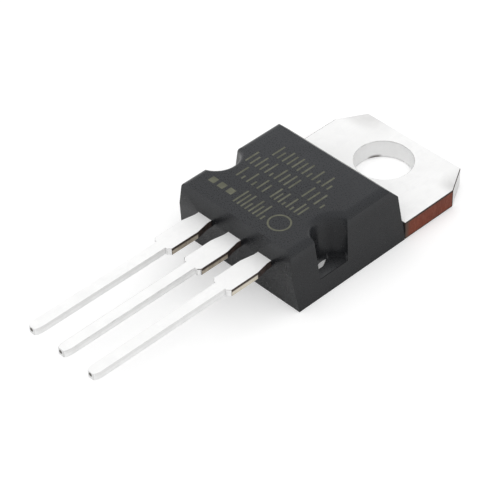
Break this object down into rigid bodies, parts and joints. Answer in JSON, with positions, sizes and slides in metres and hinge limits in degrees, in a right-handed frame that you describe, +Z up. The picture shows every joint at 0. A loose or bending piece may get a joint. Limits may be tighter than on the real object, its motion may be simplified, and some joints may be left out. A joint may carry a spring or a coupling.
{
  "type": "linear voltage regulator",
  "caption": "Voltage regulator in a flat moulded power package with a screw-down metal tab and a row of straight leads.",
  "frame": {"origin": "centre of the tab's screw hole, on the back face", "axes": "+Z up out of the back face through the moulding, +Y along the tab towards its free end, +X across the leads"},
  "size_m": [0.0102, 0.0291, 0.0045],
  "materials": {
    "epoxy": "fine matte grain from the mould",
    "tinned_copper": "satin tin plate over stamped copper",
    "silicon": "polished top, sawn sides",
    "solder": "dull",
    "wire": "drawn, bright"
  },
  "bodies": {
    "root": {"moulded_body": "epoxy", "tab_and_centre_lead": "tinned_copper", "lead_adjust": "tinned_copper", "lead_input": "tinned_copper", "silicon_die": "silicon", "die_attach_solder": "solder", "bond_wire_adjust": "wire", "bond_wire_input": "wire", "bond_wire_output": "wire"}
  },
  "joints": []
}
